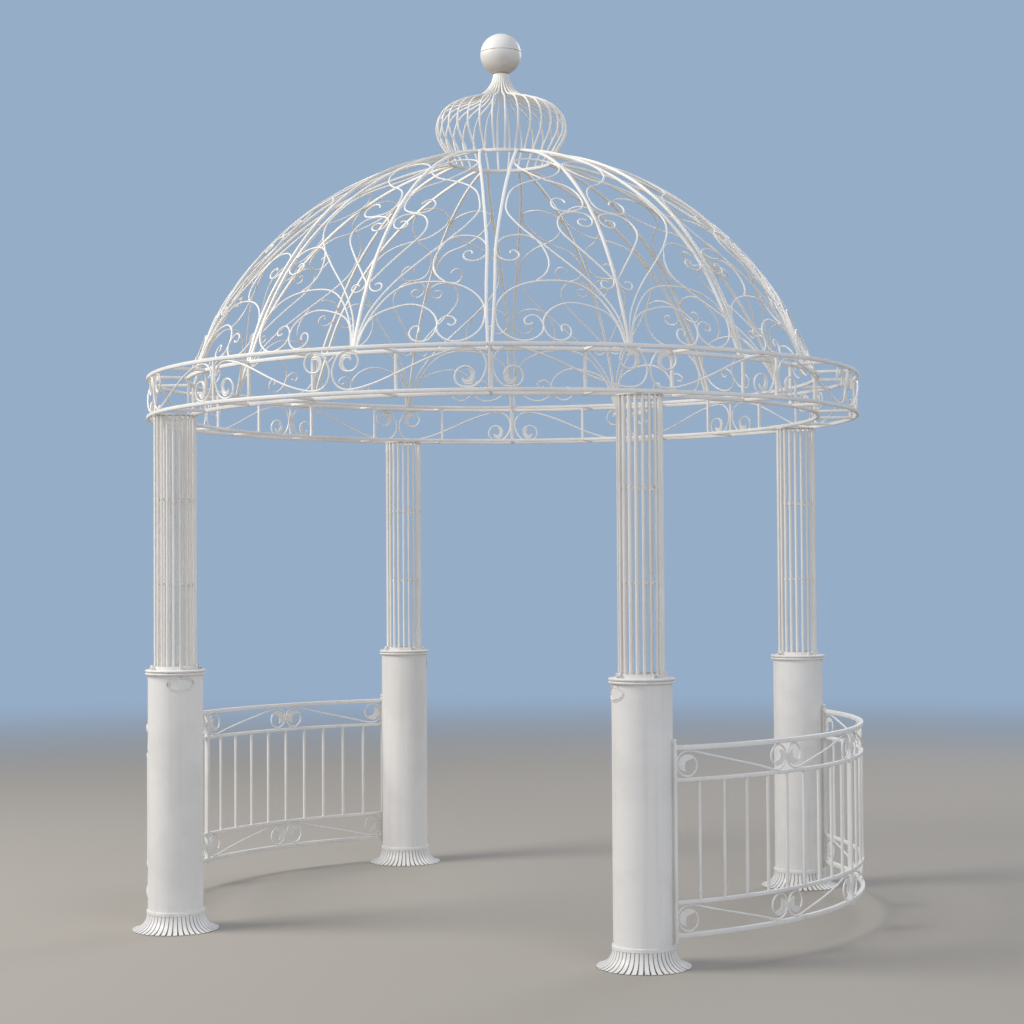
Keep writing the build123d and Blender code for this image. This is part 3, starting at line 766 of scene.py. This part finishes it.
# Distance across from the rib and along it from the foot, in millimetres
PETAL_EDGE = [
    (581.6, -6), (572, 60), (520, 331), (477, 523), (356, 879), (262, 1117), (140, 1413), (58, 1630),
    (33, 1700), (21, 1722), (9, 1729),
]
PETAL_LINES = {
    "arch": [
        (9, 0), (16, 60), (81, 212), (169, 301), (275, 320), (382, 308), (477, 264), (535, 197), (549, 138),
        (536, 79), (478, 34), (412, 34), (363, 71), (358, 116), (385, 145), (419, 138), (433, 116),
        (417, 101), (399, 111),
    ],
    "small_arch": [
        (12, -3), (22, 60), (57, 148), (135, 192), (228, 208), (303, 182), (345, 138), (355, 93), (337, 49),
        (299, 30), (259, 42), (242, 71), (257, 101), (281, 96), (279, 71),
    ],
    "stem": [
        (6, 0), (25, 138), (79, 257), (139, 346), (199, 420), (268, 509), (297, 546), (328, 571), (380, 578),
        (436, 561), (477, 519), (492, 472), (469, 435), (431, 427), (397, 449), (397, 476), (420, 485),
        (430, 467),
    ],
    "upper_bow": [
        (40, 1255), (12, 1198), (35, 1124), (92, 1057), (172, 1016), (250, 972), (316, 908), (356, 830),
        (379, 755), (370, 687), (333, 605), (297, 546), (277, 479), (275, 420), (300, 360), (348, 319),
    ],
    "inner_bow": [
        (40, 1255), (90, 1290), (150, 1290), (195, 1255), (208, 1200), (196, 1124), (164, 1060), (120, 1008),
        (55, 961), (24, 894), (20, 835), (41, 776), (111, 749), (160, 761), (168, 813), (136, 847),
        (111, 835), (104, 813),
    ],
    "heart": [
        (7, 331), (76, 435), (144, 538), (180, 612), (177, 672), (143, 724), (87, 743), (35, 731), (16, 694),
        (33, 654), (68, 645), (87, 672), (67, 694), (44, 687),
    ],
    "volute": [(7, 331), (24, 294), (57, 286), (72, 308), (59, 326), (37, 319)],
}


def on_dome(line):
    """Places on the dome's sphere of (distance across from the rib, length along it), and their normals.

    latitude = foot latitude + length / R, turn = across / (R cos latitude).
    """
    latitude = FOOT_LATITUDE + line[..., 1] / DOME_RADIUS
    turn = line[..., 0] / (DOME_RADIUS * np.cos(latitude))
    level = np.cos(latitude)
    outward = np.stack([level * np.cos(turn), level * np.sin(turn), np.sin(latitude)], -1)
    return outward * DOME_RADIUS + [0, 0, DOME_CENTRE], outward


dome_parts = []
rib_run = np.linspace(RIB_START, RIB_LENGTH, RIB_STEPS)
edge_run = flowing(PETAL_EDGE, EDGE_STEP / MM) * MM
for bar_run in (np.stack([0 * rib_run, rib_run], -1), edge_run, handed(edge_run, -1)):
    points, faces = swept(*on_dome(bar_run), rounded_square(RIB_SIZE))
    dome_parts.append((points, faces, worn_near(points[:, 2] - DOME_FOOT_LEVEL, *RAIL_WEAR)))
for petal_line in PETAL_LINES.values():
    run = flowing(petal_line, DOME_STEP / MM) * MM
    for way in (1, -1):
        rod = swept(*on_dome(handed(run, way)), round_bar(DOME_ROD, SCROLL_SIDES))
        dome_parts.append((*rod, DOME_ROD_WEAR))
dome_paint = painted("dome_paint", DOME_WHITE, patch_amount=0.30, run_amount=0.05, relief=0.12)
for i in range(SEGMENTS):
    parts = placed(dome_parts, i * SEGMENT)
    new_piece(f"petal_{i + 1}", parts, dome_paint, "dome_paint", f"dome_panel_{i + 1}")

# Crown and onion: a hoop of square tube takes the tops of the petals. Thirty-two round wires stand on it,
# swell out into an onion and gather in a short neck.

CROWN_LEVEL = 3.608
CROWN_TUBE = 0.016
CROWN_SIDES = 96
CROWN_WIRES = 32
WIRE_DIAMETER = 0.0095
WIRE_STEP = 0.014
# Radius and height over the middle of the hoop, in millimetres
ONION_LINE = [
    (253, 6), (255, 16), (264, 34), (282, 62), (304, 100), (315, 140), (310, 185), (296, 218), (270, 248),
    (236, 268), (190, 284), (135, 299), (97, 318), (64, 348), (46, 376), (37, 400), (33, 420),
]
# Radius and height over the middle of the hoop
NECK = [(0.0290, 0.392), (0.0345, 0.396), (0.0360, 0.402), (0.0345, 0.408), (0.0315, 0.412), (0.0315, 0.424)]
NECK_SIDES = 48
CROWN_WEAR = 0.15
WIRE_WEAR = 0.12
NECK_WEAR = 0.4
CROWN_WHITE = shade_of(242, 240, 236)

crown_paint = painted("crown_paint", CROWN_WHITE, patch_amount=0.35, run_amount=0.05)
crown_out = outward_at(2 * pi * np.arange(CROWN_SIDES) / CROWN_SIDES)
crown_line = (CROWN_RADIUS - CROWN_TUBE / 2) * crown_out + [0, 0, CROWN_LEVEL]
crown_hoop = swept(crown_line, crown_out, rounded_square(CROWN_TUBE), closed=True)
new_piece("crown_hoop", [(*crown_hoop, CROWN_WEAR)], crown_paint, "crown_paint", "crown_ring")
onion_line = flowing(ONION_LINE, WIRE_STEP / MM) * MM
wire_out = outward_at(2 * pi * (np.arange(CROWN_WIRES) + 0.5) / CROWN_WIRES)[:, None]
wire_paths = onion_line[:, 0, None] * wire_out + (onion_line[:, 1, None] + CROWN_LEVEL) * [0, 0, 1]
wire_normals = np.cross(np.gradient(wire_paths, axis=1), np.cross([0, 0, 1.0], wire_out))
wires = swept(wire_paths, wire_normals, round_bar(WIRE_DIAMETER, SCROLL_SIDES))
new_piece("onion_wires", [(*wires, WIRE_WEAR)], crown_paint, "crown_paint", "onion_cage")
neck = turned([(r, CROWN_LEVEL + h) for r, h in NECK], NECK_SIDES, closed=False)
new_piece("neck_collar", [(*neck, NECK_WEAR)], crown_paint, "crown_paint", "onion_neck")

# Ball: two pressed steel half balls, welded together with a fine groove left between them, and set on the
# neck. Its colour is darker towards the bottom.

BALL_RADIUS = 0.100
BALL_CENTRE = 4.128
BALL_ROWS = 72
BALL_SIDES = 96
# Degrees over the middle: the last row and the seam, then how far the seam's rows and its groove reach
BALL_END = 85.0
SEAM_TILT = 4.0
SEAM_REACH = 2.4
SEAM_WIDTH = 0.7
SEAM_ROWS = 17
SEAM_DEPTH = 0.0016
BALL_FOOT = 0.033
FOOT_GAP = 0.001
BALL_WEAR = (0.06, 1.10, 0.0014, 2)
# How much darker the ball is towards its bottom, and the heights from the lower to the upper of which this
# fades out
BALL_DARKER_BELOW = (0.62, 4.035, 4.150)
BALL_WHITE = shade_of(240, 238, 235)

ball_tilt = np.linspace(-BALL_END, BALL_END, BALL_ROWS)
seam_tilt = SEAM_TILT + np.linspace(-SEAM_REACH, SEAM_REACH, SEAM_ROWS)
ball_tilt = np.concatenate([ball_tilt[np.abs(ball_tilt - SEAM_TILT) > SEAM_REACH], seam_tilt])
ball_tilt.sort()
groove = SEAM_DEPTH * np.exp(-(((ball_tilt - SEAM_TILT) / SEAM_WIDTH) ** 2))
ball_r = (BALL_RADIUS - groove) * np.cos(np.radians(ball_tilt))
ball_z = BALL_CENTRE + (BALL_RADIUS - groove) * np.sin(np.radians(ball_tilt))
foot = BALL_CENTRE - sqrt(BALL_RADIUS**2 - BALL_FOOT**2)
over_foot = ball_z > foot + FOOT_GAP
ball_profile = [(BALL_FOOT, foot), *zip(ball_r[over_foot], ball_z[over_foot])]
ball = turned(ball_profile, BALL_SIDES, closed=False)
seam_level = BALL_CENTRE + BALL_RADIUS * sin(radians(SEAM_TILT))
ball_wear = worn_near(ball[0][:, 2] - seam_level, *BALL_WEAR)
ball_paint = painted("ball_paint", BALL_WHITE, patch_amount=0.45, run_amount=0.12, grime=BALL_DARKER_BELOW)
new_piece("ball", [(*ball, ball_wear)], ball_paint, "crown_paint", "finial_ball")

# Side railings: curved panels between the columns, two on each side, with square rails, nine round
# balusters and a band of bent S-shaped rods with cut leaves at the top and the bottom. A post with a knob
# stands against each drum, and half a post where two panels meet.

# Height of each rail's middle, and its size
RAILS = ((0.130, 0.020), (0.263, 0.016), (0.759, 0.016), (0.890, 0.020))
BALUSTERS = 9
BALUSTER = 0.014
BALUSTER_SIDES = 12
POST = 0.020
POST_SEAT = 0.0003
POST_ROWS = 9
# Width along the ring, foot and top: a post against a drum, and half of the post where two panels meet
DRUM_POST = (0.014, 0.100, 0.908)
MIDDLE_POST = (0.010, 0.112, 0.890)
# Radius and height over the post
KNOB = [(0.0055, 0.000), (0.0060, 0.005), (0.0090, 0.008), (0.0098, 0.012), (0.0085, 0.016), (0.0045, 0.018)]
KNOB_SIDES = 16
# Seen from the axis, a panel is one segment less theta, the angle between a drum's middle and its post:
# DRUM_CLEAR**2 = (a - b)**2 + 4 a b sin(theta / 2)**2, with a and b the distances of post and drum.
DRUM_CLEAR = DRUM_RADIUS + POST_SEAT
POST_INSIDE = OUTER_RAIL - POST / 2
SEAT_CHORD = DRUM_CLEAR**2 - (POST_INSIDE - COLUMN_CIRCLE) ** 2
PANEL = SEGMENT - 2 * np.degrees(asin(sqrt(SEAT_CHORD / (4 * POST_INSIDE * COLUMN_CIRCLE))))
HALF_PANEL = OUTER_RAIL * radians(PANEL / 2)
# Distance from the panel's middle and height over the band's lower rail, in millimetres
BAND_SCROLL = [
    (517.3, 77.9), (508.2, 60.4), (508.6, 35.8), (522, 16), (553, 4.6), (590, 24), (603, 56.5), (590, 92),
    (553, 108.6), (508, 104), (460, 92), (300, 56), (150, 22), (100, 9), (55, 4.6), (18, 22), (4.8, 56.5),
    (18, 92), (55, 108.4), (84, 97), (99, 77), (100.5, 56), (91, 36),
]
# Middle and radius of each leaf's circle, the angle at which it starts, and the sense in which it turns
BAND_LEAVES = [((553, 56.5), 52, 149, -1), ((55, 56.5), 52, -31, -1)]
BAND_LEAF = [
    (0, 0.80, 0.05), (0.06, 0.70, 0.22), (0.154, 0.54, 0.42), (0.33, 0.47, 0.52), (0.524, 0.49, 0.62),
    (0.69, 0.51, 0.66), (0.80, 0.51, 0.52), (0.90, 0.53, 0.30), (1, 0.56, 0.05),
]
BAND_LEAF_TURN = 227
BAND_HEIGHT = 0.113
BALUSTER_WEAR = (0.08, 0.35, 0.02)
RAILING_WEAR = (0.10, 0.35, 0.015)
KNOB_WEAR = 0.3
RAILING_GRIME = (0.08, 0.08, 0.25)
RAILING_WHITE = shade_of(240, 239, 236)
# Turn, side of the drum, and whether the bands are upside down
RAILING_PLACES = {
    "right_front": (-PANEL / 2, -1, False), "right_back": (PANEL / 2, 1, False),
    "left_back": (180 - PANEL / 2, -1, True), "left_front": (180 + PANEL / 2, 1, True),
}

baluster_run = HALF_PANEL * (2 * (np.arange(BALUSTERS) + 1) / (BALUSTERS + 1) - 1)
baluster_z = np.linspace(RAILS[1][0], RAILS[2][0], POST_ROWS)
baluster_line = np.stack(np.broadcast_arrays(baluster_run[:, None], baluster_z), -1)
balusters = swept(*on_ring(baluster_line, OUTER_RAIL, 0), round_bar(BALUSTER, BALUSTER_SIDES))
end_gap = np.minimum(balusters[0][:, 2] - RAILS[1][0], RAILS[2][0] - balusters[0][:, 2])
band_lines = [(flowing(BAND_SCROLL, SCROLL_STEP / MM) * MM, None)]
for band_leaf in BAND_LEAVES:
    line, width = leaf_line(*band_leaf, BAND_LEAF, BAND_LEAF_TURN)
    band_lines.append((line * MM, width * MM))


def railing_frame(drum_side):
    """Rails, balusters and end posts of a panel, with its drum on the side -1 or 1 of its middle."""
    ends = {drum_side: HALF_PANEL - DRUM_POST[0] / 2, -drum_side: HALF_PANEL - POST_SEAT}
    run = np.linspace(-ends[-1], ends[1], RAIL_STEPS)
    parts = [(*balusters, worn_near(end_gap, *BALUSTER_WEAR))]
    for level, size in RAILS:
        points, faces = swept(*on_ring(np.stack([run, 0 * run], -1), OUTER_RAIL, level), rounded_square(size))
        from_end = HALF_PANEL - np.abs(np.arctan2(points[:, 1], points[:, 0])) * OUTER_RAIL
        parts.append((points, faces, worn_near(from_end, *RAILING_WEAR)))
    for side in (-1, 1):
        width, foot, top = DRUM_POST if side == drum_side else MIDDLE_POST
        out = outward_at(side * (HALF_PANEL - POST_SEAT - width / 2) / OUTER_RAIL)
        line = OUTER_RAIL * out + np.linspace(foot, top, POST_ROWS)[:, None] * [0, 0, 1]
        parts.append((*swept(line, out, rounded_square(POST) * [1, width / POST]), SCROLL_WEAR))
        if side == drum_side:
            knob = turned([(r, top + h) for r, h in KNOB], KNOB_SIDES, closed=False)
            parts.append((knob[0] + OUTER_RAIL * out, knob[1], KNOB_WEAR))
    return parts


def railing_bands(upside_down):
    """The S-shaped rods and leaves of both bands. Upside down, height h becomes the band's height less h."""
    parts = []
    for (low, low_size), (high, high_size) in (RAILS[:2], RAILS[2:]):
        base = low + low_size / 2
        band = high - high_size / 2 - base
        start, rise = (band, -band / BAND_HEIGHT) if upside_down else (0, band / BAND_HEIGHT)
        for way in (1, -1):
            for line, width in band_lines:
                places = on_ring(handed(line * [1, rise] + [0, start], way), OUTER_RAIL, base)
                if width is None:
                    rod = swept(*places, round_bar(SCROLL_ROD, SCROLL_SIDES))
                else:
                    rod = swept(*places, leaf_section, scale=leaf_scale(width[::way]))
                parts.append((*rod, SCROLL_WEAR))
    return parts


railing_paint = painted(
    "railing_paint", RAILING_WHITE, patch_amount=0.40, run_amount=0.12, grime=RAILING_GRIME
)
for name, (turn, drum_side, upside_down) in RAILING_PLACES.items():
    parts = placed(railing_frame(drum_side) + railing_bands(upside_down), turn)
    new_piece(f"panel_{name}", parts, railing_paint, "railing_paint", f"railing_{name}")

# Studio: a plain pale floor that fades into a pale blue-grey backdrop, a large soft lamp from the upper
# left, and weaker ones from the right and from behind. Light from the sky is paler than the backdrop, which
# shows only to the camera and in reflections.

BACKDROP = shade_of(150, 173, 200)
FLOOR_GREY = shade_of(166, 160, 152)
FLOOR_HALF = 60.0
FLOOR_ROUGHNESS = 0.9
# Distances from the middle between which the floor fades into the backdrop
FADE = (6.0, 17.0)
SKY_WHITE = shade_of(236, 240, 246)
SKY_STRENGTH = 0.56
# Name, place, size, power and colour
LAMPS = (
    ("key", (-6.5, -5.0, 8.5), 5.0, 880.0, shade_of(255, 250, 243)),
    ("fill", (8.0, -7.0, 5.0), 7.0, 210.0, shade_of(236, 242, 255)),
    ("rim", (2.0, 9.0, 7.0), 5.0, 230.0, shade_of(248, 249, 255)),
)
LAMP_AIM = (0.0, 0.0, 1.6)


def seen_share(tree):
    """One for what the camera sees directly, in a mirror or through glass, nought for plain light."""
    path = linked(tree, "ShaderNodeLightPath").outputs
    seen = math_of(tree, "MAXIMUM", path["Is Camera Ray"], path["Is Glossy Ray"])
    return math_of(tree, "MAXIMUM", seen, path["Is Transmission Ray"])


floor_corners = [(x * FLOOR_HALF, y * FLOOR_HALF, 0) for x, y in ((-1, -1), (1, -1), (1, 1), (-1, 1))]
floor_mesh = bpy.data.meshes.new("floor")
floor_mesh.from_pydata(floor_corners, [], [(0, 1, 2, 3)])
floor = bpy.data.objects.new("floor", floor_mesh)
bpy.context.collection.objects.link(floor)
floor_paint = bpy.data.materials.new("floor_paint")
floor_paint.use_nodes = True
tree = floor_paint.node_tree
shader = tree.nodes["Principled BSDF"]
shader.inputs["Base Color"].default_value = FLOOR_GREY
shader.inputs["Roughness"].default_value = FLOOR_ROUGHNESS
place = linked(tree, "ShaderNodeTexCoord").outputs["Object"]
distance = linked(tree, "ShaderNodeVectorMath", {"operation": "LENGTH"}, i0=place).outputs["Value"]
far = math_of(tree, "MULTIPLY", spread(tree, distance, *FADE), seen_share(tree))
glow = linked(tree, "ShaderNodeEmission", None, Color=BACKDROP, Strength=1.0)
mix = linked(tree, "ShaderNodeMixShader", None, i0=far, i1=shader.outputs[0], i2=glow.outputs[0])
tree.links.new(mix.outputs[0], tree.nodes["Material Output"].inputs["Surface"])
floor_mesh.materials.append(floor_paint)
floor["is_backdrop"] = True

world = bpy.data.worlds.new("studio")
bpy.context.scene.world = world
world.use_nodes = True
tree = world.node_tree
tree.nodes.clear()
soft = linked(tree, "ShaderNodeBackground", None, Color=SKY_WHITE, Strength=SKY_STRENGTH)
seen = linked(tree, "ShaderNodeBackground", None, Color=BACKDROP, Strength=1.0)
mix = linked(tree, "ShaderNodeMixShader", None, i0=seen_share(tree), i1=soft.outputs[0], i2=seen.outputs[0])
tree.links.new(mix.outputs[0], linked(tree, "ShaderNodeOutputWorld").inputs["Surface"])


def aimed(place, target, up=(0, 0, 1)):
    """Matrix of a lamp at a place whose light falls along its own -Z towards the target."""
    back = np.subtract(place, target).astype(float)
    back /= np.linalg.norm(back)
    right = np.cross(up, back)
    right /= np.linalg.norm(right)
    axes = np.stack([right, np.cross(back, right), back], 1)
    return Matrix([*([*row, p] for row, p in zip(axes, place)), (0, 0, 0, 1)])


for name, place, size, power, colour in LAMPS:
    light = bpy.data.lights.new(name, "AREA")
    light.shape = "DISK"
    light.size = size
    light.energy = power
    light.color = colour[:3]
    lamp = bpy.data.objects.new(name, light)
    lamp.matrix_world = aimed(place, LAMP_AIM)
    bpy.context.collection.objects.link(lamp)

# Camera: worked out from the photograph, 9.7 m from the middle and 1.62 m over the ground, a little to
# the right of the front doorway.

CAMERA_DISTANCE = 9.737
CAMERA_HEIGHT = 1.621
CAMERA_ROUND = 24.52
CAMERA_PITCH = 1.624
CAMERA_YAW = 0.236
CAMERA_ROLL = -0.370
LENS = 70.70
SENSOR = 36.0

pitch, yaw, roll = (radians(a) for a in (CAMERA_PITCH, CAMERA_YAW, CAMERA_ROLL))
forward = np.array([sin(yaw) * cos(pitch), cos(yaw) * cos(pitch), sin(pitch)])
level_right = np.array([cos(yaw), -sin(yaw), 0])
level_up = np.cross(level_right, forward)
right = cos(roll) * level_right + sin(roll) * level_up
up = -sin(roll) * level_right + cos(roll) * level_up
axes = np.array([right, up, -forward, [0, -CAMERA_DISTANCE, CAMERA_HEIGHT]])
axes = about_axis(axes, CAMERA_ROUND).T
lens = bpy.data.cameras.new("camera")
lens.lens = LENS
lens.sensor_width = SENSOR
camera = bpy.data.objects.new("camera", lens)
camera.matrix_world = Matrix([*(tuple(row) for row in axes), (0, 0, 0, 1)])
bpy.context.collection.objects.link(camera)
bpy.context.scene.camera = camera
bpy.context.scene.view_settings.view_transform = "Standard"

low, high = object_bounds()
